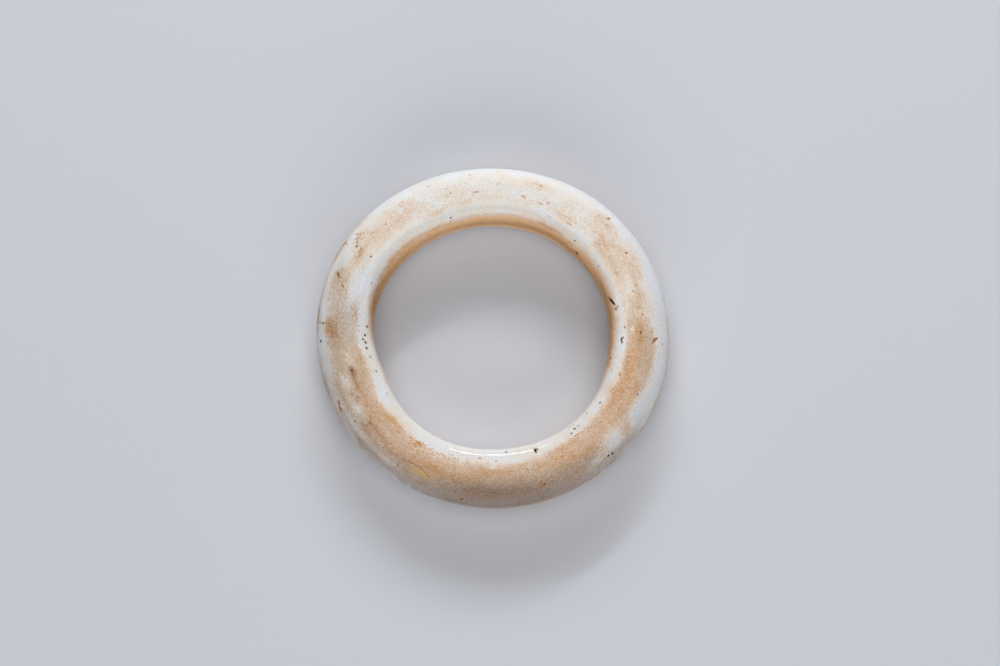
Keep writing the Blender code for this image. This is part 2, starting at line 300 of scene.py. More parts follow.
# Holes where softer mineral has weathered out, and chips along the ridge
PITS = marks(
    Pit,
    (75.9, 5.75, 3.1, 0.6, 0.45, 30), (79.5, 7.2, 0.45, 0.22, 0.15), (80.4, 6.7, 0.5, 0.24, 0.2),
    (45.5, 2.1, 0.7, 1.3, 0.2), (41.8, 6, 0.4, 0.2, 0.12), (58.2, 6.3, 0.4, 0.2, 0.08),
    (74.6, 11.7, 0.3, 0.2, 0.1), (89.3, 8.6, 0.8, 0.2, 0.08), (91.5, 12.4, 0.6, 0.22, 0.12, -10),
    (94.4, 16.3, 1.5, 1.1, 0.28, -18, 0), (94.9, 7.9, 0.9, 0.35, 0.25), (94, 8.25, 0.4, 0.2, 0.12),
    (96.2, 8.1, 0.5, 0.22, 0.15, 15), (103.6, 5.3, 0.6, 0.4, 0.1), (109.2, 6.6, 0.4, 0.2, 0.1),
    (110.4, 8.9, 0.4, 0.2, 0.08), (114.9, 14.5, 0.4, 0.2, 0.12), (125.3, 7.4, 0.45, 0.26, 0.2, 0, 0.85),
    (132.4, 6, 0.4, 0.3, 0.1, 30, 0.7), (136.3, 18.3, 0.6, 0.55, 0.3), (137.9, 17.9, 0.55, 0.4, 0.25),
    (139.8, 17.9, 0.35, 0.25, 0.1), (139.5, 7.3, 0.5, 0.22, 0.15, 0, 0.6),
    (141.5, 7.3, 0.8, 0.28, 0.25, 0, 0.7), (143.9, 7.8, 0.5, 0.22, 0.18, 0, 0.75),
    (161.2, 7.6, 0.8, 0.75, 0.38, 0, 0.6), (161.2, 8.2, 0.45, 0.6, 0.25, 0, 0.6),
    (161.9, 16.2, 0.8, 0.55, 0.08, 0, 0.55), (162.8, 15.6, 0.5, 0.4, 0.06, 0, 0.6),
    (190.1, 19.2, 0.95, 0.65, 0.08, 0, 0.75), (164.9, 17, 0.7, 0.25, 0.04, 4),
    (168.4, 17.5, 0.9, 0.25, 0.04, -3), (170.3, 16.5, 0.5, 0.22, 0.03), (173.6, 17, 1, 0.24, 0.04, 3),
    (178.2, 16.6, 0.7, 0.22, 0.035), (181.9, 17.3, 0.9, 0.24, 0.04, -4), (186, 17.2, 0.6, 0.24, 0.035),
    (173.9, 6.6, 0.5, 0.3, 0.12), (214.3, 16.8, 0.35, 0.22, 0.12), (235.9, 17.1, 0.35, 0.25, 0.12),
    (238, 6.6, 0.8, 0.3, 0.06), (249.6, 6.8, 0.6, 0.3, 0.12, -10, 0.7),
    (257, 7, 0.5, 0.22, 0.12, 0, 0.6), (261.1, 7.3, 0.55, 0.28, 0.22),
    (263.8, 7.2, 0.65, 0.32, 0.28, 12), (265.2, 7.7, 0.5, 0.25, 0.16, -12),
    (267.2, 7, 0.6, 0.35, 0.22, -20), (266.8, 18.9, 0.55, 0.65, 0.18, 0, 0.75),
    (271.4, 6, 0.5, 0.8, 0.15, 0, 0.35), (272.6, 17.6, 0.4, 0.35, 0.12, 60),
    (253, 12.4, 0.9, 0.7, 0.08, 0, 0.65), (291.6, 6.4, 0.5, 0.2, 0.08), (302, 18.5, 0.5, 0.5, 0.15),
    (290.4, 15.4, 1.5, 0.35, 0.12, 40, 0.25), (302.3, 14.2, 0.35, 0.25, 0.12),
    (301.3, 9.6, 0.3, 0.22, 0.1), (340, 6.1, 0.45, 0.22, 0.15), (343.1, 12, 0.4, 0.18, 0.08),
)

# Hairline cracks, each a run of (clock, across) places
CRACKS = (
    Crack(((202.5, 15.6), (204.8, 14.9), (206.0, 14.45), (208.0, 14.2), (212.0, 14.5)), 0.30, 0.03, 0.85),
    Crack(((224.0, 13.7), (226.3, 14.0), (229.0, 13.85), (231.8, 13.9), (233.0, 13.0)), 0.28, 0.03, 0.75),
    Crack(((231.6, 14.0), (232.0, 15.5), (234.0, 15.9)), 0.30, 0.02, 0.6),
    Crack(((241.0, 12.0), (245.5, 12.2), (249.0, 12.7), (252.8, 12.5)), 0.50, 0.02, 0.35),
    Crack(((284.2, 11.7), (286.6, 13.2), (288.6, 14.3), (291.0, 15.8)), 0.22, 0.02, 0.35),
    Crack(
        ((271.4, 8.0), (271.8, 11.5), (272.2, 15.0), (272.9, 17.6), (273.6, 19.6), (274.2, 24.0)),
        0.24,
        0.04,
        0.45,
    ),
    Crack(((272.4, 15.6), (272.9, 17.6), (273.4, 19.4)), 0.50, 0.02, 0.6),
    Crack(((301.8, 13.7), (304.0, 14.6), (307.6, 15.8)), 0.90, 0.01, 0.25),
    Crack(((298.6, 12.0), (300.5, 12.4), (302.6, 12.9)), 0.55, 0.01, 0.35),
    Crack(((93.0, 16.7), (93.3, 16.1), (94.1, 15.7), (95.0, 15.55)), 0.60, 0.08, 0.9),
)

# The stains and the painted shade on the ring's points, for its material to read
PAINTED = (
    "tan", "orange", "clean", "flecks", "rusty", "wall", "deep_stain_and_shade", "grime_and_shade", "rim", "edge", "pepper", "pale_specks_and_glints",
    "yellow", "halo", "ochre", "hairline", "dirt", "matt",
)

# By clock: how far across the bore's even stain ends, how strong it is in front, and how strong the rim's
# earth and painted shade is
WALL_EDGES = (
    (0, 5.5), (10, 5.9), (22, 6.4), (30, 6.4), (37, 5.8), (41, 5.2), (47, 6.0), (60, 6.6), (72, 6.9),
    (80, 7.2), (90, 6.8), (108, 6.6), (112, 5.6), (135, 5.8), (160, 5.6), (250, 5.6), (272, 5.6), (282, 5.6),
    (290, 5.2), (300, 4.2), (306, 5.8), (315, 5.9), (322, 5.4), (332, 5.9), (342, 5.4), (360, 5.5),
)
WALL_STAIN = (
    (0, 1.0), (106, 1.0), (112, 0.60), (135, 0.50), (160, 0.38), (175, 0.14), (225, 0.20), (240, 0.50),
    (268, 0.60), (278, 1.0), (360, 1.0),
)
RIM_EARTH_AND_SHADE = (
    (0, 0.02), (70, 0.05), (85, 0.25), (135, 0.45), (155, 0.65), (185, 0.70), (205, 0.55), (225, 0.45),
    (262, 0.45), (268, 0.30), (275, 0.55), (296, 0.50), (303, 0.30), (315, 0.12), (330, 0.06), (360, 0.02),
)


def linear(hex_colour):
    """An sRGB hex colour as linear red, green, blue and alpha."""
    parts = [int(hex_colour[i : i + 2], 16) / 255 for i in (0, 2, 4)]
    return tuple(c / 12.92 if c <= 0.04045 else ((c + 0.055) / 1.055) ** 2.4 for c in parts) + (1.0,)


def colour_property(name, hex_colour, description):
    """A colour that starts as this hex colour."""
    start = linear(hex_colour)
    return FloatVectorProperty(
        name=name, description=description, subtype="COLOR", size=4, min=0.0, max=1.0, default=start
    )


def power_property(name, watts, description):
    """A light's power."""
    return FloatProperty(name=name, description=description, default=watts, unit="POWER")


class BangleSettings(bpy.types.PropertyGroup):
    """Sizes and colours of the stone."""

    steps_round: IntProperty(
        name="Steps round the ring", description="Faces round the ring", default=600, min=96
    )
    steps_section: IntProperty(
        name="Steps round the section", description="Faces round the ring's section", default=104, min=32
    )
    waviness: FloatProperty(
        name="Waviness",
        description="How far hand grinding left the surface in and out",
        default=0.05 * MM,
        unit="LENGTH",
        precision=5,
    )
    wave_length: FloatProperty(
        name="Wave length", description="Distance between the grinding's waves", default=9 * MM, unit="LENGTH"
    )
    white: colour_property("White stone", "E9EBED", "Clean, bluish-white jade")
    blue_white: colour_property("Blue-white stone", "E2E6EC", "Translucent jade that the stain never reached")
    # Cream also colours the pale specks, which are partly painted glints
    cream: colour_property("Cream stone", "EBE5DD", "Clean jade with a warm cast")
    pale_tan: colour_property("Pale tan", "E6D6C6", "Where the stain has only just soaked in")
    tan: colour_property("Tan", "C9A98B", "The full stain")
    wall: colour_property("Bore wall", "E2BA90", "The even stain inside the bore")
    # The grime colour, also laid on as painted shade on the outside
    grime_and_shade: colour_property("Grime", "7B6B61", "Grey-brown grime on the outside")
    ochre: colour_property("Ochre", "B57832", "Iron spots")
    gold: colour_property("Gold", "C8965E", "The lighter iron spots")
    orange: colour_property("Orange tan", "D09450", "The stain at its warmest")
    # Brown also colours the deep stain and its painted shade on the bore wall
    brown: colour_property("Brown", "8E5A2C", "Freckles, and the stain round pits")
    # Umber colours the rim's earth and its painted shade
    umber: colour_property("Umber", "7A6858", "Earth worn into the rim")
    rust: colour_property("Rust", "9C6230", "Hairline cracks")
    yellow: colour_property("Yellow", "CFAA5C", "Yellow-green blooms")
    dirt: colour_property("Dirt", "2A1C12", "Earth left in pits and cracks")


class StageSettings(bpy.types.PropertyGroup):
    """The floor, lights and camera."""

    floor: colour_property("Floor", "CED1D9", "Pale bluish-grey paper")
    key_power: power_property("Key light", 7.4, "Power of the light behind")
    strip_power: power_property("Strip light", 3.2, "Power of the narrow light behind")
    side_power: power_property("Side light", 0.5, "Power of the light on the right")
    front_power: power_property("Front light", 6.2, "Power of the light above")
    low_power: power_property("Low light", 7.2, "Power of the low light in front")
    lens: FloatProperty(name="Lens", description="Focal length", default=100.0, unit="CAMERA")


def only(obj):
    """Selects one object alone and makes it active."""
    bpy.ops.object.select_all(action="DESELECT")
    obj.select_set(True)
    bpy.context.view_layer.objects.active = obj


def coordinates(mesh):
    """The places of a mesh's points, a row for each."""
    flat = np.empty(len(mesh.vertices) * 3, np.float32)
    mesh.vertices.foreach_get("co", flat)
    return flat.reshape(-1, 3).astype(float)


def set_coordinates(mesh, points):
    """Moves a mesh's points to these places."""
    mesh.vertices.foreach_set("co", np.asarray(points, np.float32).ravel())
    mesh.update()


def set_attribute(mesh, name, values):
    """Writes one number at each point, for the material or a later step."""
    layer = mesh.attributes.get(name) or mesh.attributes.new(name, "FLOAT", "POINT")
    layer.data.foreach_set("value", np.asarray(values, np.float32))


def get_attribute(mesh, name):
    """The number that was written at each point under this name."""
    values = np.empty(len(mesh.vertices), np.float32)
    mesh.attributes[name].data.foreach_get("value", values)
    return values.astype(float)


def ease(low, high, values):
    """0 at low, 1 at high, smooth between."""
    t = np.clip((values - low) / (high - low), 0, 1)
    return t * t * (3 - 2 * t)


def ripple(points, size, seed):
    """Smooth noise from about -1 to 1 at each point, with features of this size, both in metres."""
    # Each seed reads another part of the noise
    shift = Vector((seed * 3.7, seed * 1.3, seed * 7.9))
    return np.array([noise.noise(Vector(p) / size + shift) for p in points])


def read_surface(mesh):
    """The ring's points, with their places on it."""
    points = coordinates(mesh)
    x, y = points[:, 0] / MM, points[:, 1] / MM
    clock = np.degrees(np.arctan2(x - TURNING_CENTRE[0], y - TURNING_CENTRE[1])) % 360
    return Surface(points, get_attribute(mesh, "across"), clock, np.hypot(x, y))


def smooth_guide():
    """The solid's own surface without its facets, for the fine mesh to be laid on."""
    only(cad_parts["bracelet"])
    bpy.ops.object.duplicate()
    guide = bpy.context.object
    guide.name = "guide"
    guide.parent = None
    bpy.ops.object.mode_set(mode="EDIT")
    bpy.ops.mesh.select_all(action="SELECT")
    bpy.ops.mesh.remove_doubles(threshold=SAME_POINT)
    # Pairs of triangles become the four-sided faces that the solid was made of
    bpy.ops.mesh.tris_convert_to_quads(face_threshold=math.radians(20), shape_threshold=math.radians(60))
    bpy.ops.object.mode_set(mode="OBJECT")
    smoothing = guide.modifiers.new("smoothing", "SUBSURF")
    smoothing.levels = smoothing.render_levels = SUBDIVISIONS
    bpy.ops.object.modifier_apply(modifier="smoothing")
    return guide


def ring_blank(settings):
    """A fine torus laid closely on the solid's surface, with each point's distance across it written."""
    low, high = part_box("bracelet")
    thick = high.z - low.z
    outline = (high.x - low.x) / 2
    middle = outline - thick / 2
    guide = smooth_guide()
    bpy.ops.object.select_all(action="DESELECT")
    bpy.ops.mesh.primitive_torus_add(
        major_segments=settings.steps_round // FINER,
        minor_segments=settings.steps_section // FINER,
        major_radius=middle,
        minor_radius=thick / 2,
        location=(0, 0, thick / 2),
    )
    ring = bpy.context.object
    ring.name = ring.data.name = "jade_ring"
    bpy.ops.object.transform_apply(location=True, rotation=True, scale=True)
    fine = ring.modifiers.new("fine", "SUBSURF")
    fine.levels = fine.render_levels = SUBDIVISIONS
    bpy.ops.object.modifier_apply(modifier="fine")
    order = section_order(ring, settings, middle, thick / 2)
    laid = ring.modifiers.new("laid", "SHRINKWRAP")
    laid.target = guide
    laid.wrap_method = "NEAREST_SURFACEPOINT"
    laid.wrap_mode = "ABOVE_SURFACE"
    laid.offset = LAID_OUT
    bpy.ops.object.modifier_apply(modifier="laid")
    bpy.data.meshes.remove(guide.data)
    bpy.ops.object.shade_smooth()
    measure_across(ring, order)
    return ring


def section_order(ring, settings, middle, height):
    """The torus's points in rows, one for each section, going forward from the middle of the bore wall."""
    rows = settings.steps_round // FINER * FINER
    columns = settings.steps_section // FINER * FINER
    points = coordinates(ring.data)
    inward = middle - np.hypot(points[:, 0], points[:, 1])
    section = np.degrees(np.arctan2(points[:, 2] - height, inward)) % 360
    direction = np.degrees(np.arctan2(points[:, 0], points[:, 1])) % 360
    row = np.round(direction / 360 * rows).astype(int) % rows
    column = np.round(section / 360 * columns).astype(int) % columns
    order = np.empty((rows, columns), int)
    order[row, column] = np.arange(len(points))
    return order


def measure_across(ring, order):
    """Writes each point's distance across the surface in millimetres, forward from the bore wall's middle."""
    points = coordinates(ring.data)
    columns = order.shape[1]
    row_points = points[order[:, list(range(columns)) + [0]]]
    steps = np.linalg.norm(np.diff(row_points, axis=1), axis=2) / MM
    travelled = np.concatenate([np.zeros((len(order), 1)), np.cumsum(steps, axis=1)], axis=1)
    # The last quarter, from the back land to the bore wall's middle, is counted backward
    past_land = np.arange(columns) > columns * 3 // 4
    across = np.empty(len(points))
    across[order] = travelled[:, :-1] - np.where(past_land, travelled[:, -1:], 0)
    set_attribute(ring.data, "across", across)


def offsets(surface, mark):
    """Distances in millimetres from a mark, along and across its own direction."""
    away = (surface.clock - mark.clock + 180) % 360 - 180
    along = np.radians(away) * surface.radius
    up = surface.across - mark.across
    c, s = math.cos(math.radians(mark.turn)), math.sin(math.radians(mark.turn))
    return along * c + up * s, up * c - along * s


def crack_distance(surface, crack):
    """Distance in millimetres from a crack's line."""
    best = np.full(len(surface.points), np.inf)
    for (clock_a, across_a), (clock_b, across_b) in zip(crack.places, crack.places[1:]):
        x = np.radians((surface.clock - clock_a + 180) % 360 - 180) * surface.radius
        y = surface.across - across_a
        to_x = math.radians(clock_b - clock_a) * surface.radius
        to_y = across_b - across_a
        share = np.clip((x * to_x + y * to_y) / (to_x**2 + to_y**2), 0, 1)
        best = np.minimum(best, np.hypot(x - share * to_x, y - share * to_y))
    return best


def refine_round_marks(ring):
    """Cuts the faces under each small mark finely, so that its edge is crisp."""
    mesh = ring.data
    surface = read_surface(mesh)
    close = np.zeros(len(surface.points), bool)
    for mark in PITS + OCHRE_SPOTS:
        along, up = offsets(surface, mark)
        close |= (np.abs(along) < mark.long / 2 + SPOT_MARGIN) & (np.abs(up) < mark.wide / 2 + SPOT_MARGIN)
    for crack in CRACKS:
        close |= crack_distance(surface, crack) < CRACK_MARGIN
    # A face with four corners is cut when any of them is close to a mark
    corners = np.empty(len(mesh.loops), np.int32)
    mesh.loops.foreach_get("vertex_index", corners)
    chosen = close[corners.reshape(-1, 4)].any(axis=1)
    only(ring)
    bpy.ops.object.mode_set(mode="EDIT")
    bpy.ops.mesh.select_mode(type="FACE")
    bpy.ops.mesh.select_all(action="DESELECT")
    bpy.ops.object.mode_set(mode="OBJECT")
    mesh.polygons.foreach_set("select", chosen)
    bpy.ops.object.mode_set(mode="EDIT")
    bpy.ops.mesh.subdivide(number_cuts=CUTS)
    bpy.ops.object.mode_set(mode="OBJECT")


def pit_shape(surface, pit, wobble):
    """How deep each point lies in a pit, from 0 outside to 1 at its floor."""
    along, up = offsets(surface, pit)
    reach = np.hypot(along / (pit.long / 2), up / (pit.wide / 2)) + 0.25 * wobble
    return 1 - ease(0.55, 1.2, reach)


def wear(ring, settings):
    """Moves the surface in and out: the waves of hand grinding, then the pits and cracks."""
    mesh = ring.data
    surface = read_surface(mesh)
    points = surface.points
    normals = np.array([v.normal for v in mesh.vertices])
    # The flat land that the ring lies on has no waves, and is let down by what the mesh was laid out
    resting = ease(1.2 * MM, 0.3 * MM, points[:, 2])
    waves = ripple(points, settings.wave_length, 1) + 0.4 * ripple(points, settings.wave_length / 3, 2)
    outward = (waves - 0.4) * settings.waviness * (1 - resting) - LAID_OUT * resting
    wobble = ripple(points, 0.35 * MM, 3)
    for pit in PITS:
        outward -= pit.depth * MM * pit_shape(surface, pit, wobble)
    for crack in CRACKS:
        outward -= crack.depth * MM * (1 - ease(0, crack.wide, crack_distance(surface, crack)))
    set_coordinates(mesh, points + normals * outward[:, None])


def patch_sum(surface, patches):
    """The patches' strengths at each point, the strongest winning softly."""
    rest = np.ones(len(surface.points))
    for patch in patches:
        along, up = offsets(surface, patch)
        inside = np.exp(-((along / patch.reach_round) ** 2 + (up / patch.reach_across) ** 2))
        rest *= 1 - patch.strength * inside
    return 1 - rest


def paint(ring):
    """Writes how strongly each stain, and the painted shade, shows at each point."""
    mesh = ring.data
    surface = read_surface(mesh)
    points, across, clock = surface.points, surface.across, surface.clock
    # Unevenness in three sizes: the edges of marks, the edges of stains, and slow change round the ring
    wobble = ripple(points, 0.3 * MM, 4)
    drift = ripple(points, 5 * MM, 5)
    broad = ripple(points, 14 * MM, 6)

    tan = patch_sum(surface, TAN_PATCHES)
    clean = patch_sum(surface, CLEAN_PATCHES)
    # A thin veil of stain covers the crown. At the bottom and the top it starts further out
    start = 0.8 * ease(150, 170, clock) * ease(235, 215, clock)
    start += 0.9 * (ease(38, 18, clock) + ease(328, 345, clock))
    veil = ease(7.0, 8.8, across - start + 0.5 * drift) * ease(18.5, 13.5, across + 0.8 * drift)
    tan = np.maximum(tan, veil * (0.15 + 0.08 * broad))
    tan *= 1 - 0.95 * clean
    # Outside the bore, the back has a faint stain that changes slowly round the ring
    back = ease(9 * MM, 5 * MM, points[:, 2]) * ease(6.0, 7.0, np.abs(across))
    tan = np.maximum(tan, back * (0.35 + 0.35 * broad))

    # In front the bore's even stain is stronger or weaker by clock, and behind it is the same all round
    wall_edge = np.interp(clock, *zip(*WALL_EDGES)) + 0.2 * drift
    wall = 1 - ease(wall_edge - 2.9, wall_edge + 1.6, np.abs(across))
    in_front = np.interp(clock, *zip(*WALL_STAIN))
    wall *= in_front + (0.75 - in_front) * ease(1, -6, across)
    # Earth and painted shade on the rim, strongest at the bottom, and a thin warm line along its widest part,
    # weaker at the bottom
    rim = ease(18.6, 21.8, across + 0.6 * drift) * ease(29.5, 23.0, across + 0.8 * drift)
    rim *= np.interp(clock, *zip(*RIM_EARTH_AND_SHADE))
    edge = ease(20.9, 21.6, across) * ease(25.0, 22.5, across) * ease(40, 60, clock) * ease(325, 300, clock)
    edge *= 1 - 0.7 * ease(150, 175, clock) * ease(240, 215, clock)

    # The left side shows fewer specks, and the outer bottom more dark ones and fewer bright ones, the bright
    # ones being partly painted glints
    left = ease(218, 240, clock) * ease(318, 296, clock)
    low = ease(110, 150, clock) * ease(250, 210, clock) * ease(11, 14, across)

    ochre = np.zeros(len(points))
    for spot in OCHRE_SPOTS:
        along, up = offsets(surface, spot)
        reach = np.hypot(along / (spot.long / 2), up / (spot.wide / 2)) + 0.45 * wobble
        ochre = np.maximum(ochre, spot.strength * (1 - ease(0.5, 1.35, reach)))

    dirt = np.zeros(len(points))
    halo = np.zeros(len(points))
    for pit in PITS:
        share = pit.dirty * min(pit.depth / DARK_DEPTH, 1.0)
        dirt = np.maximum(dirt, share * pit_shape(surface, pit, wobble))
        stained = pit._replace(long=pit.long + HALO, wide=pit.wide + HALO)
        halo = np.maximum(halo, share * pit_shape(surface, stained, wobble))
    hairline = np.zeros(len(points))
    for crack in CRACKS:
        line = 1 - ease(0, crack.wide * 0.8, crack_distance(surface, crack) + 0.03 * wobble)
        hairline = np.maximum(hairline, crack.strength * line)

    pepper = np.clip(0.10 + 0.30 * tan + 0.3 * drift + 0.28 * low, 0, 0.85)
    pepper *= ease(5.5, 8.5, across) * (1 - clean) * (1 - 0.4 * left)
    pepper = np.maximum(pepper, 1.25 * patch_sum(surface, PEPPER_PATCHES))
    # The inner ridge is rubbed to a shine, except at the top
    matt_from = 7.6 - 2.6 * (ease(75, 50, clock) + ease(285, 310, clock))
    matt = 0.8 * ease(matt_from, matt_from + 1.4, np.abs(across)) * (1 - 0.8 * clean)

    stains = {
        "tan": tan,
        "orange": patch_sum(surface, ORANGE_PATCHES),
        "clean": clean,
        "flecks": np.maximum(0.62 * veil, 0.6 * tan) * (1 - 0.6 * clean) * (1 - 0.35 * left),
        "rusty": patch_sum(surface, RUSTY_PATCHES),
        "wall": wall,
        "deep_stain_and_shade": patch_sum(surface, DEEP_STAIN_AND_SHADE_PATCHES),
        "grime_and_shade": patch_sum(surface, GRIME_AND_SHADE_PATCHES) * (1 - 0.3 * clean),
        "rim": rim,
        "edge": edge,
        "pepper": pepper,
        # Pale specks on the stain, partly painted glints, fewer at the outer bottom
        "pale_specks_and_glints": np.clip(0.8 * tan, 0, 0.45) * (1 - 0.8 * low),
        "yellow": patch_sum(surface, YELLOW_PATCHES),
        "halo": halo,
        "ochre": ochre,
        "hairline": hairline,
        "dirt": dirt,
        "matt": np.maximum.reduce((matt, wall, rim, dirt)),
    }
    for name in PAINTED:
        set_attribute(mesh, name, stains[name])


NOISE = "ShaderNodeTexNoise"
MATH = "ShaderNodeMath"
VECTOR_MATH = "ShaderNodeVectorMath"
RANGE = "ShaderNodeMapRange"
MIX = "ShaderNodeMix"
# The sockets of a colour mix: its share, the colours that it goes from and to, and its result
SHARE, FROM, TO, MIXED = 0, 6, 7, 2


def add_node(tree, kind, inputs=None, output=0, **settings):
    """Adds a node with these settings and inputs, each a value or a link, and returns one of its outputs."""
    node = tree.nodes.new(kind)
    for name, value in settings.items():
        setattr(node, name, value)
    for name, value in (inputs or {}).items():
        if isinstance(value, bpy.types.NodeSocket):
            tree.links.new(value, node.inputs[name])
        else:
            node.inputs[name].default_value = value
    return node.outputs[output]


def waxed_nephrite(settings):
    """Nephrite rubbed smooth with wet sand until it shines like wax: light sinks in a little, so edges glow.

    Iron from the ground has soaked in as a tan, grainy stain, which is rougher than the clean stone.
    """
    material = bpy.data.materials.new("waxed_nephrite")
    material.use_nodes = True
    tree = material.node_tree
    shader = tree.nodes["Principled BSDF"]
    place = add_node(tree, "ShaderNodeTexCoord", output="Object")
    in_mm = add_node(tree, VECTOR_MATH, {0: place, "Scale": 1 / MM}, operation="SCALE")
    painted = {}
    for name in PAINTED:
        painted[name] = add_node(tree, "ShaderNodeAttribute", output="Fac", attribute_name=name)

    # Textures about a middle of 0, by the size of their features in millimetres. The real grain is near
    # 0.1 mm and is drawn coarser here, so that it shows. Each is read 40 mm on from the one before it
    textures = {}
    for name, size, detail in (
        ("dust", 0.22, 1.0), ("grain", 0.37, 2.0), ("flecks", 0.30, 2.0), ("rusty", 0.50, 2.0),
        ("pepper", 0.38, 1.0), ("pale_specks_and_glints", 0.30, 1.0), ("mottle", 1.6, 3.0), ("cloud", 5.0, 3.0),
    ):
        moved = add_node(tree, VECTOR_MATH, {0: in_mm, 1: (40.0 * len(textures), 0, 0)}, operation="ADD")
        noise_value = add_node(tree, NOISE, {"Vector": moved, "Scale": 1 / size, "Detail": detail})
        textures[name] = add_node(tree, MATH, {0: noise_value, 1: 0.5}, operation="SUBTRACT")

    # Streaks and short dashes left by rubbing round the ring, by their length and width in millimetres
    flat = add_node(tree, VECTOR_MATH, {0: in_mm, 1: (1, 1, 0)}, operation="MULTIPLY")
    radius = add_node(tree, VECTOR_MATH, {0: flat}, output="Value", operation="LENGTH")
    direction = add_node(tree, VECTOR_MATH, {0: flat}, operation="NORMALIZE")
    height = add_node(tree, "ShaderNodeSeparateXYZ", {0: in_mm}, output="Z")
    for name, length, width in (("streaks", 3.2, 0.5), ("dashes", 0.75, 0.30)):
        round_way = add_node(
            tree, VECTOR_MATH, {0: direction, "Scale": MIDDLE_RADIUS / length}, operation="SCALE"
        )
        outward = add_node(tree, MATH, {0: radius, 1: width}, operation="DIVIDE")
        lift = add_node(tree, "ShaderNodeCombineXYZ", {"Z": outward})
        rubbed = add_node(tree, VECTOR_MATH, {0: round_way, 1: lift}, operation="ADD")
        level = add_node(tree, MATH, {0: height, 1: width}, operation="DIVIDE")
        drawn = add_node(tree, NOISE, {"Vector": rubbed, "W": level, "Scale": 1.0}, noise_dimensions="4D")
        textures[name] = add_node(tree, MATH, {0: drawn, 1: 0.5}, operation="SUBTRACT")

    # How dense each stain is once the stone's grain has let it in: its painted share, and how much of each
    # texture is added to that
    dense = {}
    for name, mixture in {
        "tan": {"cloud": 0.5, "mottle": 0.5, "grain": 0.7, "streaks": 0.2, "dashes": 0.3, "dust": 0.7},
        "orange": {"grain": 0.8, "dashes": 1.0, "flecks": 1.0, "streaks": 0.5, "mottle": 0.9},
        "flecks": {"flecks": 2.6, "dashes": 1.2, "streaks": 0.3},
        "rusty": {"rusty": 2.2, "dashes": 1.4, "dust": 0.8},
        "wall": {"grain": 0.6, "dust": 0.5, "mottle": 0.5},
        "deep_stain_and_shade": {"grain": 0.6, "mottle": 0.35, "dashes": 0.2},
        "grime_and_shade": {"grain": 0.4, "dust": 0.4, "streaks": 0.2, "dashes": 0.2},
        "rim": {"grain": 0.6, "mottle": 0.8, "cloud": 0.8},
        "ochre": {"grain": 0.8},
        "yellow": {"grain": 0.5},
        "pepper": {"pepper": 3.6, "dashes": 0.6},
        "pale_specks_and_glints": {"pale_specks_and_glints": 4.0},
    }.items():
        uneven = 0.0
        for texture, amount in mixture.items():
            values = {0: textures[texture], 1: amount, 2: uneven}
            uneven = add_node(tree, MATH, values, operation="MULTIPLY_ADD")
        # Nothing is added where nothing is painted
        within = add_node(tree, RANGE, {"Value": painted[name], "From Min": 0.0, "From Max": 0.3})
        dense[name] = add_node(tree, MATH, {0: uneven, 1: within, 2: painted[name]}, operation="MULTIPLY_ADD")
    dense.update((name, painted[name]) for name in ("halo", "hairline", "dirt", "clean", "edge"))
    dense["cloud"] = textures["cloud"]

    # The stone, and each stain and painted shade laid over it in turn, from nothing at its low density to all
    # at its high one
    colour = settings.white
    for name, low, high, strength, shade in (
        ("cloud", -0.15, 0.15, 1.0, settings.cream),
        ("clean", 0.0, 1.0, 1.0, settings.blue_white),
        ("tan", 0.0, 0.45, 1.0, settings.pale_tan),
        ("tan", 0.25, 0.95, 0.82, settings.tan),
        ("orange", 0.15, 1.25, 0.60, settings.orange),
        ("tan", 0.9, 1.35, 0.4, settings.ochre),
        ("flecks", 0.70, 1.3, 0.55, settings.orange),
        ("rusty", 0.80, 1.3, 0.75, settings.ochre),
        # Pale specks, partly painted glints
        ("pale_specks_and_glints", 0.80, 1.3, 0.50, settings.cream),
        ("wall", 0.0, 0.95, 1.0, settings.wall),
        # The deep stain, partly painted shade on the bore wall and the left rim
        ("deep_stain_and_shade", 0.0, 1.0, 0.8, settings.brown),
        # Grime and painted shade on the outside
        ("grime_and_shade", 0.1, 1.0, 0.9, settings.grime_and_shade),
        # The rim's earth and painted shade
        ("rim", 0.05, 1.0, 0.8, settings.umber),
        ("edge", 0.0, 1.0, 0.22, settings.orange),
        ("pepper", 0.90, 1.4, 0.48, settings.brown),
        ("yellow", 0.0, 1.0, 1.0, settings.yellow),
        ("halo", 0.0, 1.0, 0.6, settings.brown),
        ("ochre", 0.05, 0.70, 0.8, settings.gold),
        ("ochre", 0.35, 1.0, 0.9, settings.rust),
        ("hairline", 0.0, 1.0, 0.9, settings.rust),
        ("dirt", 0.0, 0.6, 1.0, settings.dirt),
    ):
        share = add_node(
            tree, RANGE, {"Value": dense[name], "From Min": low, "From Max": high, "To Max": strength},
            interpolation_type="SMOOTHSTEP",
        )
        colour = add_node(tree, MIX, {SHARE: share, FROM: colour, TO: shade}, output=MIXED, data_type="RGBA")
    # Fine dust in the surface, less on the clean, well rubbed stone
    dusty = add_node(tree, RANGE, {"Value": dense["tan"], "From Max": 0.4, "To Min": 0.5, "To Max": 0.85})
    dusting = add_node(tree, MATH, {0: textures["dust"], 1: dusty, 2: 1.0}, operation="MULTIPLY_ADD")
    colour = add_node(tree, VECTOR_MATH, {0: colour, "Scale": dusting}, operation="SCALE")
    tree.links.new(colour, shader.inputs["Base Color"])

    stained = add_node(tree, MATH, {0: dense["tan"], 1: painted["dirt"]}, operation="MAXIMUM")
    dull = add_node(tree, MATH, {0: stained, 1: painted["matt"]}, operation="MAXIMUM")
    roughness = add_node(tree, RANGE, {"Value": dull, "To Min": 0.12, "To Max": 0.50})
    tree.links.new(roughness, shader.inputs["Roughness"])
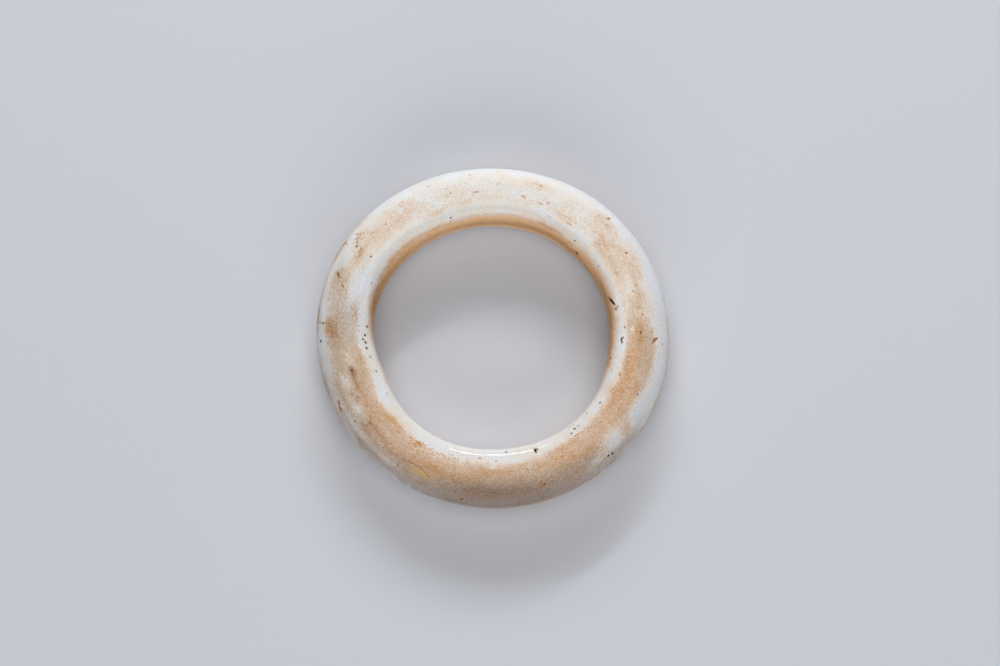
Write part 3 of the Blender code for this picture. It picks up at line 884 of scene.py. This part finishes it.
    # The weathered stone has lost most of its gloss
    gloss = add_node(tree, RANGE, {"Value": painted["matt"], "To Min": 0.5, "To Max": 0.02})
    tree.links.new(gloss, shader.inputs["Specular IOR Level"])
    relief = add_node(tree, MATH, {0: textures["grain"], 1: textures["dust"]}, operation="ADD")
    raised = add_node(tree, RANGE, {"Value": dense["tan"], "From Max": 0.5, "To Min": 0.3, "To Max": 1.0})
    bump = add_node(
        tree, "ShaderNodeBump", {"Strength": raised, "Distance": 0.04 * MM, "Height": relief}, output="Normal"
    )
    tree.links.new(bump, shader.inputs["Normal"])
    shader.inputs["IOR"].default_value = 1.61
    shader.inputs["Subsurface Weight"].default_value = 0.2
    shader.inputs["Subsurface Radius"].default_value = (1.0, 0.85, 0.7)
    shader.inputs["Subsurface Scale"].default_value = 0.6 * MM
    return material


def seamless_paper(settings):
    """Matt bluish-grey background paper: even, with no gloss."""
    material = bpy.data.materials.new("matt_paper")
    material.use_nodes = True
    shader = material.node_tree.nodes["Principled BSDF"]
    shader.inputs["Base Color"].default_value = settings.floor
    shader.inputs["Roughness"].default_value = 0.8
    return material


class BANGLE_OT_ring(bpy.types.Operator):
    """Make the worn jade ring on the solid's form"""

    bl_idname = "bangle.ring"
    bl_label = "Jade ring"

    def execute(self, context):
        settings = context.scene.bangle
        ring = ring_blank(settings)
        refine_round_marks(ring)
        wear(ring, settings)
        paint(ring)
        ring.data.materials.clear()
        ring.data.materials.append(waxed_nephrite(settings))
        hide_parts("bracelet")
        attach(ring, "root")
        return {"FINISHED"}


def soft_light(name, place, size, power, colour):
    """A soft box of this size, aimed at the middle of the floor."""
    data = bpy.data.lights.new(name, "AREA")
    data.shape = "RECTANGLE"
    data.size, data.size_y = size
    data.energy = power
    data.color = colour
    light = bpy.data.objects.new(name, data)
    light.location = place
    light.rotation_euler = (Vector() - light.location).to_track_quat("-Z", "Y").to_euler()
    bpy.context.scene.collection.objects.link(light)
    return light


def photo_camera(settings):
    """A camera that sees the ring at the angle, size and place that it has in the photograph."""
    data = bpy.data.cameras.new("camera")
    data.lens = settings.lens
    data.sensor_width = SENSOR_WIDTH
    data.clip_start = 0.01
    camera = bpy.data.objects.new("camera", data)
    bpy.context.scene.collection.objects.link(camera)
    pixel = RING_WIDTH / RING_WIDTH_PX
    distance = pixel * PHOTO_WIDTH_PX * settings.lens / SENSOR_WIDTH
    lean = math.radians(LEAN)
    side = Vector((1, 0, 0))
    up = Vector((0, math.cos(lean), math.sin(lean)))
    back = Vector((0, -math.sin(lean), math.cos(lean)))
    centre = Vector((0, 0, (CAD_BOX[0][2] + CAD_BOX[1][2]) / 2))
    shift_x = (PHOTO_CENTRE[0] - RING_CENTRE[0]) * pixel
    shift_y = (RING_CENTRE[1] - PHOTO_CENTRE[1]) * pixel
    camera.location = centre + back * distance + side * shift_x + up * shift_y
    camera.rotation_euler = (lean, 0, 0)
    return camera


class BANGLE_OT_stage(bpy.types.Operator):
    """Lay the floor and set up the lights and camera"""

    bl_idname = "bangle.stage"
    bl_label = "Stage"

    def execute(self, context):
        settings = context.scene.bangle_stage
        bpy.ops.object.select_all(action="DESELECT")
        bpy.ops.mesh.primitive_plane_add(size=3.0, location=(0, 0, 0))
        floor = bpy.context.object
        floor.name = floor.data.name = "floor"
        floor.data.materials.append(seamless_paper(settings))

        behind = (0.0, 1.0, 0.56)
        key = soft_light("key", behind, (0.9, 0.30), settings.key_power, (1.0, 0.993, 0.985))
        # Only the narrow light beside it is mirrored, as a thin line along the inner ridge
        key.visible_glossy = False
        strip = soft_light("strip", behind, (0.55, 0.04), settings.strip_power, (1.0, 1.0, 1.0))
        strip.rotation_euler.rotate_axis("Z", math.radians(20))
        soft_light("side", (0.75, 0.05, 0.28), (0.25, 0.7), settings.side_power, (0.92, 0.96, 1.0))
        soft_light("front", (0.0, -0.08, 1.2), (1.2, 1.0), settings.front_power, (1.0, 0.993, 0.98))
        soft_light("low", (0.0, -1.0, 0.40), (1.2, 0.5), settings.low_power, (1.0, 0.993, 0.98))

        world = bpy.data.worlds.new("studio")
        world.use_nodes = True
        background = world.node_tree.nodes["Background"]
        background.inputs["Color"].default_value = (0.80, 0.86, 1.0, 1.0)
        background.inputs["Strength"].default_value = 0.02
        context.scene.world = world
        context.scene.camera = photo_camera(settings)
        context.scene.view_settings.view_transform = "Standard"
        return {"FINISHED"}


class BANGLE_PT_panel(bpy.types.Panel):
    """The bangle's operators"""

    bl_label = "Jade Bangle"
    bl_space_type = "VIEW_3D"
    bl_region_type = "UI"
    bl_category = "Jade Bangle"

    def draw(self, context):
        self.layout.operator("bangle.ring")
        self.layout.operator("bangle.stage")


CLASSES = (BangleSettings, StageSettings, BANGLE_OT_ring, BANGLE_OT_stage, BANGLE_PT_panel)


def register():
    """Adds the panel, the operators and their settings."""
    for cls in CLASSES:
        bpy.utils.register_class(cls)
    bpy.types.Scene.bangle = PointerProperty(type=BangleSettings)
    bpy.types.Scene.bangle_stage = PointerProperty(type=StageSettings)


def unregister():
    """Takes them away again."""
    del bpy.types.Scene.bangle_stage
    del bpy.types.Scene.bangle
    for cls in reversed(CLASSES):
        bpy.utils.unregister_class(cls)


def main():
    """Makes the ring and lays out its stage."""
    register()
    bpy.ops.bangle.ring()
    bpy.ops.bangle.stage()


if __name__ == "__main__":
    main()
